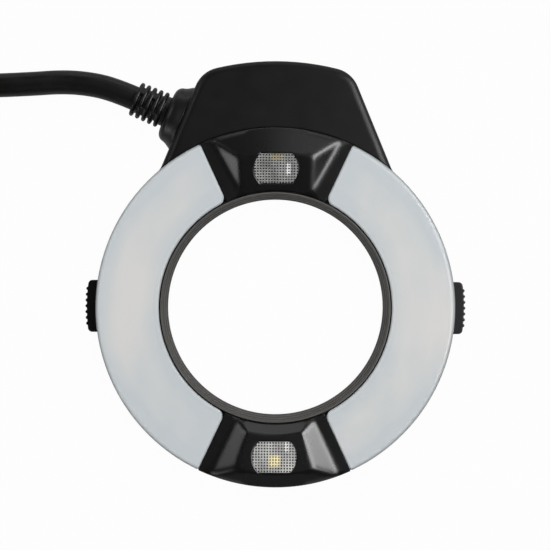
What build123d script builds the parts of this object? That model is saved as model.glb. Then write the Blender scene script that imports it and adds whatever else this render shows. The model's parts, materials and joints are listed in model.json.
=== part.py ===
from build123d import *
import os
from math import asin, atan2, cos, degrees, hypot, pi, radians, sin, sqrt, tan

os.makedirs("parts", exist_ok=True)

# The head lies on its rear face: +Z is the firing direction, +Y points to the lobe.
# The origin is on the axis of the lens opening, in the plane of the rear face. Millimetres and degrees.

# Shell of the head
opening_radius = 40.5
ring_width = 21.8
wall = 2.0
rear_floor = 2.4
joint_height = 12.0
seat_height = 22.0
case_rise = 1.0
skirt_drop = 4.0
front_edge_round = 2.8
rear_edge_round = 2.0
joint_groove = 0.35
seat_plate = 2.0
overrun = 1.0
wire_hole_radius = 1.4
button_window_depth = 8.0
fit_gap = 0.05
part_gap = 0.15
run_gap = 0.3

# Lobe above the ring
lobe_rise = 23.1
lobe_crown_radius = 89.0
lobe_root_half_width = 40.3
lobe_lean = 22.6
lobe_corner_radius = 10.4
lobe_blend_radius = 5.0
lobe_root_run = 5.0

# Lens opening
adapter_bore_step = 0.5
adapter_bore_length = 6.0
adapter_tube_wall = 1.4
adapter_flange_width = 6.4
adapter_flange = 1.2
rear_tube_wall = 1.95
tube_joint_height = 10.8
baffle_rise = 2.5
baffle_rear_height = 10.3
baffle_recess = 0.7
baffle_lip_wall = 1.4
baffle_rear_wall = 2.9
baffle_lip = 0.8
baffle_rib_count = 3
baffle_rib_depth = 0.45
baffle_notch_half_angle = 5.0
baffle_notch = 1.4
baffle_notch_wall = 0.3
front_tube_wall = 2.5

# Diffusers and the lamp housings between them
lamp_half_angle = 25.0
lamp_base_rise = 2.5
diffuser_rise = 3.0
diffuser_wall = 1.3
diffuser_overhang = 0.2
diffuser_corner_radius = 2.8
diffuser_edge_round = 1.6
diffuser_inner_round = 0.5
diffuser_rim_gap = 0.15

# Flash tubes and reflectors
tube_radius = 2.0
tube_bore_radius = 1.5
tube_height = 17.5
tube_half_angle = 55.5
electrode_radius = 1.5
electrode_half_angle = 62.6
holder_half_angle = 62.0
holder_angle = 2.2
holder_half_width = 2.7
holder_top = 20.0
reflector_half_angle = 59.5
reflector_gap = 0.5
reflector_drop = 0.7
reflector_bottom = 12.2
reflector_wall = 0.5

# Release buttons, their sliders and springs
slider_plate = 1.5
slider_inner_step = 6.7
slider_outer_inset = 8.3
slider_levels = {"left": 6.4, "right": 8.2}
slider_arm_half_width = 6.0
catch_reach = 1.3
catch_thickness = 1.6
catch_half_width = 5.0
catch_bottom = 6.4
catch_top = 9.7
button_inner_inset = 2.8
button_proud = 3.75
button_half_height = 9.1
button_bottom = 3.3
button_top = 11.7
button_corner_radius = 1.5
button_socket = 1.5
ridge_count = 7
ridge_pitch = 2.03
ridge_radius = 0.6
ridge_sink = 0.1
spring_radius = 1.55
spring_wire_radius = 0.25
spring_turns = 7
spring_height = 4.3
spring_seat_gap = 0.2
spring_pin_radius = 1.0
spring_pin_length = 2.5
guide_plate_bottom = 10.0
guide_plate_inset = 6.0
guide_plate = 0.75
guide_post_inset = 4.0
guide_post_radius = 2.2
guide_post_angles = (45, 135, 225, 315)
guide_ear_radius = 2.4
board_thickness = 1.2

# Screws
small_screw_radius = 0.9
small_head_radius = 1.7
small_head = 1.0
small_screw_reach = 4.0
slot_width = 0.5
slot_depth = 0.5
cross_slot_share = 0.75
case_screw_radius = 1.1
case_screw_head_radius = 2.1
case_screw_head = 1.4
case_screw_recess = 1.6
case_screw_recess_radius = 2.5
case_screw_length = 15.0
case_post_radius = 3.1
ring_post_radius = 2.5
ring_post_inset = 4.6
ring_post_half_angle = 15.0
lobe_post_x = 19.5
lobe_post_inset = 9.5
adapter_screw_step = 4.4
adapter_screw_length = 3.6
adapter_screw_sink = 0.7
adapter_screw_angles = (30, 150, 210, 330)
adapter_boss_radius = 1.9
adapter_boss_top = 4.6

# Control board in the lobe and what it carries
board_left = -14.0
board_right = 16.0
board_low_gap = 2.2
board_high_gap = 8.0
control_board_bottom = 7.0
control_post_radius = 2.0
control_post_inset = 2.4
transformer_x = -4.9
transformer_width = 9.0
transformer_height = 7.0
transformer_length_share = 0.62
transformer_core_wall = 1.6
transformer_coil_share = 0.9
capacitor_x = 3.2
capacitor_radius = 3.0
capacitor_length_share = 0.7
connector_x = 9.1
connector_width = 4.2
connector_height = 5.0
connector_length_share = 0.62
connector_wall = 0.8
small_part_round = 0.6

# Cable, its gland and its clamp
cable_radius = 4.25
cable_bore_gap = 0.05
cable_height = 11.8
cable_exit_share = 0.535
gland_outer_reach = 6.0
gland_sections = ((0.0, 11.9, 9.8), (0.9, 11.4, 9.5), (2.0, 10.7, 9.1), (gland_outer_reach, 10.3, 8.8))
gland_edge_round = 2.9
gland_spigot_radius = 7.0
gland_flange_radius = 8.4
gland_flange = 1.5
relief_neck_radius = 5.3
relief_neck = 1.6
relief_core_radius = 4.7
relief_rib_count = 5
relief_rib_pitch = 2.3
relief_rib_half = 0.68
relief_rib_radius = 6.45
relief_tip_radius = 6.2
relief_web_half_width = 1.3
relief_web_angle = 55
cable_inner_reach = 12.0
clamp_distance = 6.1
clamp_half_thickness = 2.0
clamp_half_width = 8.8
clamp_wall = 0.9
clamp_ear = 3.2
clamp_joint_gap = 0.2
clamp_screw_offset = 7.0
clamp_round = 1.2

# Route of the cable, chosen by hand: from the strain relief to its coil, as places beside the cable entry
# and heights above the cable's lowest line, then from the coil to the plug, as places beside the coil's
# middle and heights above the plug's axis
cable_lead = 7.8
cable_route = (
    (-32.2, 12.0, 6.15),
    (-42.0, 12.85, 5.0),
    (-54.7, 12.1, 2.4),
    (-68.7, 11.6, 0.7),
    (-82.2, 11.0, 0.0),
)
coil_approach = 20.9
tail_lead = 10.0
tail_route = (
    (-52.7, -31.0, 5.0),
    (-50.8, -42.5, 2.4),
    (-47.8, -53.5, 0.0),
    (-44.8, -64.0, 0.0),
)

# Coil of the cable that is put away
coil_offset_x = -125.5
coil_offset_y = -42.8
coil_turns = 2.25
coil_outer_radius = 53.0
coil_gap = 0.7
coil_steps_per_turn = 4
coil_samples_per_turn = 120
coil_start_angle = 90.0
coil_climb_angle = 180.0
tie_angle = 292.0
tie_half_width = 5.0
tie_thickness = 0.7
tie_gap = 0.4

# Plug on the far end
plug_radius = 8.2
plug_relief_radius = 5.2
plug_relief_root_radius = 6.2
plug_relief = 9.0
plug_grip = 22.0
plug_shoulder = 2.4
plug_groove_count = 6
plug_groove_pitch = 2.4
plug_groove = 1.1
plug_groove_depth = 0.6
sleeve_length = 13.0
sleeve_radius = 7.6
sleeve_bore_radius = 6.6
sleeve_seat = 2.0
sleeve_knurl_count = 24
insert_length = 6.0
pin_count = 6
pin_ring_radius = 3.6
pin_radius = 0.6
pin_length = 5.0

# Shapes of the two lamp housings: the lens face rises from its brink to its crest, and facets fall
# away from it. The shares count across the ring's width, from the opening outwards.
lamp_shapes = {
    "upper": {
        "brink_share": 0.0,
        "brink_rise": 0.3,
        "crest_share": 0.573,
        "crest_half_width": 12.9,
        "near_share": 0.0,
        "near_half_width": 12.75,
        "far_share": 0.766,
        "far_half_width": 22.2,
        "lens_share": 0.335,
    },
    "lower": {
        "brink_share": 0.161,
        "brink_rise": 3.35,
        "crest_share": 0.766,
        "crest_half_width": 14.0,
        "near_share": -0.059,
        "near_half_width": 13.7,
        "far_share": 0.761,
        "far_half_width": 21.9,
        "lens_share": 0.5,
    },
}
crest_rise = 4.3
lamp_edge_round = 1.3
lens_radius = 7.6
lens_half_height = 5.35
lens_gap = 0.1
lens_thickness = 2.0
lens_sink = 0.25
lens_cell = 0.975
lens_cell_depth = 0.35
lens_groove_half_width = 0.4
lamp_well_half_width = 5.5
lamp_well_half_height = 4.0
lamp_well_margin = 1.3
lamp_board_half_width = 6.5
lamp_board_half_height = 4.5
lamp_board_thickness = 0.8
lamp_chip_half = 2.4
lamp_chip = 1.1
lamp_chip_round = 0.3


def unit(angle):
    """The direction in the XY plane at that angle from +X."""
    return Vector(cos(radians(angle)), sin(radians(angle)), 0)


def ring_place(radius, angle):
    """The point at that radius and angle about the optical axis."""
    return (radius * cos(radians(angle)), radius * sin(radians(angle)))


def across_ring(share):
    """The radius at that share of the ring's width, from the opening outwards."""
    return opening_radius + ring_width * share


def circle_height(radius, offset):
    """How high a circle stands above its centre, at that offset beside it."""
    return sqrt(radius**2 - offset**2)


def ring_sector(inner, outer, half_angle, middle, side_gap=0.0, corner=0.0):
    """A sector about the optical axis, with its ends drawn in by the gap and its inner corners rounded."""
    with BuildSketch(mode=Mode.PRIVATE) as shape:
        start = middle - half_angle
        end = middle + half_angle
        inner_trim = degrees(asin(side_gap / inner))
        outer_trim = degrees(asin(side_gap / outer))
        with BuildLine():
            outer_arc = CenterArc((0, 0), outer, start + outer_trim, 2 * (half_angle - outer_trim))
            inner_arc = CenterArc((0, 0), inner, start + inner_trim, 2 * (half_angle - inner_trim))
            Line(outer_arc @ 0, inner_arc @ 0)
            Line(outer_arc @ 1, inner_arc @ 1)
        make_face()
        if corner > 0:
            near_axis = shape.vertices().sort_by_distance((0, 0, 0))[:2]
            fillet(near_axis, corner)
    return shape.sketch


# Heights that follow the seat of the diffusers and the lamp housings
case_height = seat_height + case_rise
skirt_height = seat_height - skirt_drop
reflector_top = seat_height - reflector_drop
baffle_shoulder = seat_height - part_gap
baffle_front_height = seat_height + baffle_rise
lamp_base_height = seat_height + lamp_base_rise
diffuser_crown_height = seat_height + diffuser_rise
crest_height = lamp_base_height + crest_rise

# Radii about the optical axis
ring_radius = opening_radius + ring_width
inner_wall_radius = ring_radius - wall
ring_bore_radius = opening_radius + fit_gap
front_tube_radius = opening_radius + front_tube_wall
baffle_front_radius = opening_radius - baffle_recess
baffle_lip_radius = opening_radius - baffle_lip_wall
baffle_rear_radius = opening_radius - baffle_rear_wall
adapter_bore_radius = opening_radius + adapter_bore_step
adapter_screw_ring_radius = opening_radius + adapter_screw_step
adapter_flange_radius = adapter_bore_radius + adapter_flange_width
rear_tube_bore = adapter_bore_radius + adapter_tube_wall + fit_gap
rear_tube_radius = rear_tube_bore + rear_tube_wall
diffuser_inner_radius = opening_radius - diffuser_overhang
tube_ring_radius = (front_tube_radius + inner_wall_radius) / 2
reflector_half_width = (inner_wall_radius - front_tube_radius) / 2 - reflector_gap
reflector_depth = reflector_top - reflector_bottom
slider_inner_radius = opening_radius + slider_inner_step
slider_outer_radius = ring_radius - slider_outer_inset
slider_root_radius = (slider_inner_radius + slider_outer_radius) / 2
catch_radius = opening_radius - catch_reach
button_inner_face = ring_radius - button_inner_inset
button_reach = ring_radius + button_proud
guide_plate_radius = ring_radius - guide_plate_inset
guide_post_ring_radius = ring_radius - guide_post_inset
ring_post_ring_radius = ring_radius - ring_post_inset

# Corners of the lobe, from its lean and its crown
lobe_height = ring_radius + lobe_rise
lobe_root_y = circle_height(ring_radius, lobe_root_half_width)
crown_centre_y = lobe_height - lobe_crown_radius
lean_x = sin(radians(lobe_lean))
lean_y = cos(radians(lobe_lean))
root_above_centre = lobe_root_y - crown_centre_y
along_b = root_above_centre * lean_y - lobe_root_half_width * lean_x
along_c = lobe_root_half_width**2 + root_above_centre**2 - lobe_crown_radius**2
lobe_side_length = sqrt(along_b**2 - along_c) - along_b
lobe_corner_x = lobe_root_half_width - lobe_side_length * lean_x
lobe_corner_y = lobe_root_y + lobe_side_length * lean_y
lobe_low_x = lobe_root_half_width + lobe_root_run * lean_x
lobe_low_y = lobe_root_y - lobe_root_run * lean_y


def head_outline():
    """The ring's circle with the lobe that leans in towards its crown."""
    with BuildSketch(mode=Mode.PRIVATE) as outline:
        with BuildLine():
            Line((-lobe_low_x, lobe_low_y), (-lobe_corner_x, lobe_corner_y))
            ThreePointArc((-lobe_corner_x, lobe_corner_y), (0, lobe_height), (lobe_corner_x, lobe_corner_y))
            Line((lobe_corner_x, lobe_corner_y), (lobe_low_x, lobe_low_y))
            Line((lobe_low_x, lobe_low_y), (-lobe_low_x, lobe_low_y))
        make_face()
        fillet(outline.vertices().sort_by(Axis.Y)[-2:], lobe_corner_radius)
        Circle(ring_radius)
        roots = ShapeList()
        for side in (-1, 1):
            root = (side * lobe_root_half_width, lobe_root_y, 0)
            roots.append(outline.vertices().sort_by_distance(root)[0])
        fillet(roots, lobe_blend_radius)
    return outline.sketch


# Cable entry: the wall that carries it leans, and the cable leaves square to it
wall_out = Vector(-lean_y, lean_x, 0)
wall_along = Vector(lean_x, lean_y, 0)
wall_root = Vector(-lobe_root_half_width, lobe_root_y, 0)
wall_entry = wall_root + wall_along * lobe_side_length * cable_exit_share + Vector(0, 0, cable_height)


def entry_plane(distance):
    """The plane square to the cable, that far outside the wall, with x along the wall and y up."""
    return Plane(origin=wall_entry + wall_out * distance, x_dir=-wall_along, z_dir=wall_out)


case_post_places = (
    (-lobe_post_x, lobe_height - lobe_post_inset),
    (lobe_post_x, lobe_height - lobe_post_inset),
    ring_place(ring_post_ring_radius, 270 - ring_post_half_angle),
    ring_place(ring_post_ring_radius, 270 + ring_post_half_angle),
)
case_post_radii = (case_post_radius, case_post_radius, ring_post_radius, ring_post_radius)
seat_bottom = seat_height - seat_plate
case_post_tops = (case_height - wall, case_height - wall, seat_bottom, seat_bottom)
guide_post_places = [ring_place(guide_post_ring_radius, angle) for angle in guide_post_angles]
board_low = ring_radius + board_low_gap
board_high = lobe_height - board_high_gap
window_half_angle = 90 - lamp_half_angle
sides = {"left": 180, "right": 0}
lamps = {"upper": 90, "lower": 270}

# Front shell of ring and lobe
with BuildPart() as front_case:
    with BuildSketch(Plane.XY.offset(joint_height)):
        add(head_outline())
    extrude(amount=case_height - joint_height)
    front_rim = front_case.faces().sort_by(Axis.Z)[-1].outer_wire().edges()
    fillet(front_rim, front_edge_round)
    joint_rim = front_case.faces().sort_by(Axis.Z)[0].outer_wire().edges()
    chamfer(joint_rim, joint_groove)
    with BuildSketch(Plane.XY.offset(joint_height)):
        add(head_outline())
        offset(amount=-wall)
    extrude(amount=case_height - joint_height - wall, mode=Mode.SUBTRACT)
    with BuildSketch(Plane.XY.offset(skirt_height)):
        add(ring_sector(inner_wall_radius, ring_radius, lamp_half_angle, lamps["lower"]))
    extrude(amount=seat_height - skirt_height)
    with BuildSketch(Plane.XY.offset(seat_height)):
        Circle(ring_radius)
    extrude(amount=case_height - seat_height + overrun, mode=Mode.SUBTRACT)
    with BuildSketch(Plane.XY.offset(joint_height)):
        Circle(front_tube_radius)
    extrude(amount=case_height - joint_height, mode=Mode.SUBTRACT)
    with BuildSketch(Plane.XY.offset(skirt_height)):
        for middle in sides.values():
            add(ring_sector(opening_radius, ring_radius, window_half_angle, middle))
    extrude(amount=case_height - skirt_height + overrun, mode=Mode.SUBTRACT)
    with BuildSketch(Plane.XY.offset(tube_joint_height)):
        Circle(front_tube_radius)
        Circle(ring_bore_radius, mode=Mode.SUBTRACT)
    extrude(amount=seat_height - tube_joint_height)
    with BuildSketch(Plane.XY.offset(seat_bottom)):
        for middle in lamps.values():
            add(ring_sector(ring_bore_radius, inner_wall_radius + overrun, lamp_half_angle, middle))
    extrude(amount=seat_plate)
    rib_half_angle = degrees(wall / inner_wall_radius) / 2
    with BuildSketch(Plane.XY.offset(joint_height)):
        for middle in lamps.values():
            for edge in (-1, 1):
                rib_middle = middle + edge * (lamp_half_angle - rib_half_angle)
                add(ring_sector(ring_bore_radius, inner_wall_radius + overrun, rib_half_angle, rib_middle))
    extrude(amount=seat_height - joint_height)
    for place, radius, top in zip(case_post_places, case_post_radii, case_post_tops):
        with BuildSketch(Plane.XY.offset(joint_height)):
            with Locations(place):
                Circle(radius)
        extrude(amount=top - joint_height)
        with BuildSketch(Plane.XY.offset(joint_height)):
            with Locations(place):
                Circle(case_screw_radius + fit_gap)
        extrude(amount=case_screw_length + case_screw_recess - joint_height, mode=Mode.SUBTRACT)
    for middle in lamps.values():
        with BuildSketch(Plane.XY.offset(seat_bottom)):
            with Locations(ring_place(front_tube_radius + wall, middle)):
                Circle(wire_hole_radius)
        extrude(amount=seat_plate, mode=Mode.SUBTRACT)
    with BuildSketch(entry_plane(-wall - overrun)):
        Circle(gland_spigot_radius + fit_gap)
    extrude(amount=wall + 2 * overrun, mode=Mode.SUBTRACT)
front_case.part.label = "front_case"
export_step(front_case.part, "parts/front_case.step")

# Rear shell, with the tube that carries the adapter ring
with BuildPart() as rear_cover:
    with BuildSketch():
        add(head_outline())
    extrude(amount=joint_height)
    rear_rim = rear_cover.faces().sort_by(Axis.Z)[0].outer_wire().edges()
    fillet(rear_rim, rear_edge_round)
    joint_rim = rear_cover.faces().sort_by(Axis.Z)[-1].outer_wire().edges()
    chamfer(joint_rim, joint_groove)
    with BuildSketch(Plane.XY.offset(rear_floor)):
        add(head_outline())
        offset(amount=-wall)
    extrude(amount=joint_height - rear_floor, mode=Mode.SUBTRACT)
    with BuildSketch(Plane.XY.offset(adapter_flange)):
        Circle(rear_tube_radius)
    extrude(amount=tube_joint_height - adapter_flange)
    with BuildSketch():
        Circle(rear_tube_bore)
    extrude(amount=joint_height, mode=Mode.SUBTRACT)
    with BuildSketch():
        Circle(adapter_flange_radius + part_gap)
    extrude(amount=adapter_flange, mode=Mode.SUBTRACT)
    with BuildSketch(Plane.XY.offset(adapter_bore_length)):
        Rectangle(2 * slider_root_radius, 2 * (catch_half_width + run_gap))
        Rectangle(2 * adapter_bore_radius, 2 * (catch_half_width + run_gap), mode=Mode.SUBTRACT)
    extrude(amount=guide_plate_bottom - adapter_bore_length, mode=Mode.SUBTRACT)
    for middle in sides.values():
        with BuildSketch(Plane.XY.offset(button_bottom - run_gap)):
            with Locations(ring_place(ring_radius, middle)):
                Rectangle(button_window_depth, 2 * (button_half_height + run_gap))
        extrude(amount=joint_height - button_bottom + run_gap, mode=Mode.SUBTRACT)
    with BuildSketch(Plane.XY.offset(rear_floor)):
        with Locations(*guide_post_places):
            Circle(guide_post_radius)
    extrude(amount=guide_plate_bottom - rear_floor)
    with BuildSketch(Plane.XY.offset(rear_floor)):
        with Locations(*guide_post_places):
            Circle(small_screw_radius + fit_gap)
    extrude(amount=guide_plate_bottom - rear_floor, mode=Mode.SUBTRACT)
    with BuildSketch(Plane.XY.offset(adapter_flange)):
        with Locations(*[ring_place(adapter_screw_ring_radius, angle) for angle in adapter_screw_angles]):
            Circle(adapter_boss_radius)
    extrude(amount=adapter_boss_top - adapter_flange)
    with BuildSketch():
        Circle(rear_tube_bore)
    extrude(amount=adapter_boss_top, mode=Mode.SUBTRACT)
    with BuildSketch():
        with Locations(*[ring_place(adapter_screw_ring_radius, angle) for angle in adapter_screw_angles]):
            Circle(small_screw_radius + fit_gap)
    extrude(amount=adapter_screw_length + adapter_screw_sink, mode=Mode.SUBTRACT)
    for place, radius in zip(case_post_places, case_post_radii):
        with BuildSketch():
            with Locations(place):
                Circle(radius)
        extrude(amount=joint_height)
        with BuildSketch():
            with Locations(place):
                Circle(case_screw_recess_radius)
        extrude(amount=case_screw_recess, mode=Mode.SUBTRACT)
        with BuildSketch():
            with Locations(place):
                Circle(case_screw_radius + fit_gap)
        extrude(amount=joint_height, mode=Mode.SUBTRACT)
    control_posts = [
        (x, y)
        for x in (board_left + control_post_inset, board_right - control_post_inset)
        for y in (board_low + control_post_inset, board_high - control_post_inset)
    ]
    with BuildSketch(Plane.XY.offset(rear_floor)):
        with Locations(*control_posts):
            Circle(control_post_radius)
    extrude(amount=control_board_bottom - rear_floor)
    with BuildSketch(Plane.XY.offset(rear_floor)):
        with Locations(*control_posts):
            Circle(small_screw_radius + fit_gap)
    extrude(amount=control_board_bottom - rear_floor, mode=Mode.SUBTRACT)
    cradle_middle = wall_entry - wall_out * clamp_distance
    cradle_origin = (cradle_middle.X, cradle_middle.Y, rear_floor)
    cradle_plane = Plane(origin=cradle_origin, x_dir=wall_along, z_dir=(0, 0, 1))
    with BuildSketch(cradle_plane):
        Rectangle(2 * clamp_half_width, 2 * clamp_half_thickness)
    extrude(amount=cable_height - rear_floor)
    with BuildSketch(cradle_plane):
        with Locations((-clamp_screw_offset, 0), (clamp_screw_offset, 0)):
            Circle(small_screw_radius + fit_gap)
    extrude(amount=cable_height - rear_floor, mode=Mode.SUBTRACT)
    with BuildSketch(entry_plane(-clamp_distance - clamp_half_thickness - overrun)):
        Circle(cable_radius + cable_bore_gap)
    extrude(amount=2 * (clamp_half_thickness + overrun), mode=Mode.SUBTRACT)
    with BuildSketch(entry_plane(-wall - overrun)):
        Circle(gland_spigot_radius + fit_gap)
    extrude(amount=wall + 2 * overrun, mode=Mode.SUBTRACT)
rear_cover.part.label = "rear_cover"
export_step(rear_cover.part, "parts/rear_cover.step")

# Ribbed sleeve that keeps stray light out of the lens opening
with BuildPart() as bore_baffle:
    with BuildSketch(Plane.XZ):
        cone_start = baffle_front_height - baffle_lip
        rib_pitch = (cone_start - baffle_rear_height) / baffle_rib_count
        rib_step = (baffle_lip_radius - baffle_rear_radius) / baffle_rib_count
        profile = [
            (opening_radius, baffle_rear_height),
            (opening_radius, baffle_shoulder),
            (baffle_front_radius, baffle_shoulder),
            (baffle_front_radius, baffle_front_height),
            (baffle_lip_radius + baffle_lip / 3, baffle_front_height),
            (baffle_lip_radius, cone_start),
        ]
        for i in range(baffle_rib_count):
            radius = baffle_lip_radius - rib_step * (i + 1)
            profile.append((radius + baffle_rib_depth, cone_start - rib_pitch * (i + 0.5)))
            profile.append((radius, cone_start - rib_pitch * (i + 0.7)))
            profile.append((radius, cone_start - rib_pitch * (i + 1)))
        with BuildLine():
            Polyline(*profile, close=True)
        make_face()
    revolve(axis=Axis.Z)
    notch_inner = baffle_lip_radius - overrun
    notch_outer = baffle_front_radius - baffle_notch_wall
    with BuildSketch(Plane.XY.offset(baffle_front_height)):
        add(ring_sector(notch_inner, notch_outer, baffle_notch_half_angle, lamps["lower"]))
    extrude(amount=-baffle_notch, mode=Mode.SUBTRACT)
bore_baffle.part.label = "bore_baffle"
export_step(bore_baffle.part, "parts/bore_baffle.step")

# Metal seat for a lens adapter
with BuildPart() as adapter_ring:
    with BuildSketch():
        Circle(adapter_flange_radius)
    extrude(amount=adapter_flange)
    with BuildSketch():
        Circle(adapter_bore_radius + adapter_tube_wall)
    extrude(amount=adapter_bore_length)
    with BuildSketch():
        Circle(adapter_bore_radius)
    extrude(amount=adapter_bore_length, mode=Mode.SUBTRACT)
    screw_places = [ring_place(adapter_screw_ring_radius, angle) for angle in adapter_screw_angles]
    with BuildSketch():
        with Locations(*screw_places):
            Circle(small_screw_radius + part_gap)
    extrude(amount=adapter_flange, mode=Mode.SUBTRACT)
    with BuildSketch():
        with Locations(*screw_places):
            Circle(small_head_radius + part_gap)
    extrude(amount=adapter_screw_sink, mode=Mode.SUBTRACT)
adapter_ring.part.label = "adapter_ring"
export_step(adapter_ring.part, "parts/adapter_ring.step")

with BuildPart() as adapter_ring_screws:
    with BuildSketch():
        with Locations(*screw_places):
            Circle(small_head_radius)
    extrude(amount=adapter_screw_sink)
    with BuildSketch():
        with Locations(*screw_places):
            Circle(small_screw_radius)
    extrude(amount=adapter_screw_length)
    with BuildSketch():
        with Locations(*screw_places):
            Rectangle(2 * small_head_radius, slot_width)
    extrude(amount=slot_depth, mode=Mode.SUBTRACT)
adapter_ring_screws.part.label = "adapter_ring_screws"
export_step(adapter_ring_screws.part, "parts/adapter_ring_screws.step")

# Milky windows over the flash tubes
for side, middle in sides.items():
    with BuildPart() as diffuser:
        outer = ring_radius - diffuser_rim_gap
        with BuildSketch(Plane.XY.offset(skirt_height)):
            add(ring_sector(
                diffuser_inner_radius,
                outer,
                window_half_angle,
                middle,
                part_gap,
                diffuser_corner_radius,
            ))
        extrude(amount=diffuser_crown_height - skirt_height)
        crown = diffuser.faces().sort_by(Axis.Z)[-1].outer_wire().edges()
        outer_edge = crown.filter_by(GeomType.CIRCLE).sort_by(SortBy.RADIUS)[-1]
        fillet(outer_edge, diffuser_edge_round)
        crown = diffuser.faces().filter_by(Plane.XY).sort_by(Axis.Z)[-1].outer_wire().edges()
        inside_round = outer - 2 * diffuser_edge_round
        other_edges = [edge for edge in crown if edge.length < outer or edge.radius < inside_round]
        chamfer(other_edges, diffuser_inner_round)
        with BuildSketch(Plane.XY.offset(skirt_height)):
            add(ring_sector(
                diffuser_inner_radius + diffuser_wall,
                outer - diffuser_wall,
                window_half_angle,
                middle,
                part_gap + diffuser_wall,
                diffuser_corner_radius - diffuser_wall,
            ))
        extrude(amount=diffuser_crown_height - diffuser_wall - skirt_height, mode=Mode.SUBTRACT)
        with BuildSketch(Plane.XY.offset(skirt_height)):
            Circle(front_tube_radius + part_gap)
        extrude(amount=seat_height - skirt_height, mode=Mode.SUBTRACT)
    diffuser.part.label = f"{side}_diffuser"
    export_step(diffuser.part, f"parts/{side}_diffuser.step")

# Bright troughs, flash tubes and what holds them
for side, middle in sides.items():
    trough_start = Plane.XZ.rotated((0, 0, middle - reflector_half_angle))
    with BuildPart() as reflector:
        with BuildSketch(trough_start) as trough:
            with BuildLine():
                outer_curve = EllipticalCenterArc(
                    (tube_ring_radius, reflector_top),
                    reflector_half_width,
                    reflector_depth,
                    180,
                    arc_size=180,
                )
                inner_curve = EllipticalCenterArc(
                    (tube_ring_radius, reflector_top),
                    reflector_half_width - reflector_wall,
                    reflector_depth - reflector_wall,
                    180,
                    arc_size=180,
                )
                Line(outer_curve @ 0, inner_curve @ 0)
                Line(outer_curve @ 1, inner_curve @ 1)
            make_face()
        revolve(axis=Axis.Z, revolution_arc=2 * reflector_half_angle)
    reflector.part.label = f"{side}_reflector"
    export_step(reflector.part, f"parts/{side}_reflector.step")

    tube_start = Plane.XZ.rotated((0, 0, middle - tube_half_angle))
    with BuildPart() as flash_tube:
        with BuildSketch(tube_start):
            with Locations((tube_ring_radius, tube_height)):
                Circle(tube_radius)
                Circle(tube_bore_radius, mode=Mode.SUBTRACT)
        revolve(axis=Axis.Z, revolution_arc=2 * tube_half_angle)
    flash_tube.part.label = f"{side}_flash_tube"
    export_step(flash_tube.part, f"parts/{side}_flash_tube.step")

electrode_angle = electrode_half_angle - tube_half_angle
tube_ends = []
for middle in sides.values():
    tube_ends.append((middle - electrode_half_angle, middle - holder_half_angle))
    tube_ends.append((middle + tube_half_angle, middle + holder_half_angle - holder_angle))

with BuildPart() as flash_tube_electrodes:
    for electrode_start, holder_start in tube_ends:
        with BuildSketch(Plane.XZ.rotated((0, 0, electrode_start))):
            with Locations((tube_ring_radius, tube_height)):
                Circle(electrode_radius)
        revolve(axis=Axis.Z, revolution_arc=electrode_angle)
flash_tube_electrodes.part.label = "flash_tube_electrodes"
export_step(flash_tube_electrodes.part, "parts/flash_tube_electrodes.step")

board_bottom = guide_plate_bottom + guide_plate
board_top = board_bottom + board_thickness
with BuildPart() as tube_holders:
    for electrode_start, holder_start in tube_ends:
        with BuildSketch(Plane.XZ.rotated((0, 0, holder_start))):
            with Locations((tube_ring_radius, (board_top + holder_top) / 2)):
                Rectangle(2 * holder_half_width, holder_top - board_top)
            with Locations((tube_ring_radius, tube_height)):
                Circle(electrode_radius + fit_gap, mode=Mode.SUBTRACT)
        revolve(axis=Axis.Z, revolution_arc=holder_angle)
tube_holders.part.label = "tube_holders"
export_step(tube_holders.part, "parts/tube_holders.step")

# Plate that keeps the sliders down, and the board on top of it
with BuildPart() as release_guide_plate:
    with BuildSketch(Plane.XY.offset(guide_plate_bottom)):
        Circle(guide_plate_radius)
        with Locations(*guide_post_places):
            Circle(guide_ear_radius)
        Circle(rear_tube_radius + part_gap, mode=Mode.SUBTRACT)
        with Locations(*case_post_places[2:]):
            Circle(ring_post_radius + part_gap, mode=Mode.SUBTRACT)
        with Locations(*guide_post_places):
            Circle(small_screw_radius + part_gap, mode=Mode.SUBTRACT)
        Circle(inner_wall_radius - part_gap, mode=Mode.INTERSECT)
    extrude(amount=guide_plate)
release_guide_plate.part.label = "release_guide_plate"
export_step(release_guide_plate.part, "parts/release_guide_plate.step")

with BuildPart() as ring_circuit_board:
    with BuildSketch(Plane.XY.offset(board_bottom)):
        Circle(guide_plate_radius)
        with Locations(*guide_post_places):
            Circle(guide_ear_radius)
        Circle(rear_tube_radius + part_gap, mode=Mode.SUBTRACT)
        with Locations(*case_post_places[2:]):
            Circle(ring_post_radius + part_gap, mode=Mode.SUBTRACT)
        with Locations(*guide_post_places):
            Circle(small_screw_radius + part_gap, mode=Mode.SUBTRACT)
        Circle(inner_wall_radius - part_gap, mode=Mode.INTERSECT)
    extrude(amount=board_thickness)
ring_circuit_board.part.label = "ring_circuit_board"
export_step(ring_circuit_board.part, "parts/ring_circuit_board.step")

with BuildPart() as guide_plate_screws:
    with BuildSketch(Plane.XY.offset(board_top)):
        with Locations(*guide_post_places):
            Circle(small_head_radius)
    extrude(amount=small_head)
    with BuildSketch(Plane.XY.offset(board_top - small_screw_reach)):
        with Locations(*guide_post_places):
            Circle(small_screw_radius)
    extrude(amount=small_screw_reach)
    with BuildSketch(Plane.XY.offset(board_top + small_head - slot_depth)):
        with Locations(*guide_post_places):
            Rectangle(2 * small_head_radius, slot_width)
    extrude(amount=slot_depth, mode=Mode.SUBTRACT)
guide_plate_screws.part.label = "guide_plate_screws"
export_step(guide_plate_screws.part, "parts/guide_plate_screws.step")

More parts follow.
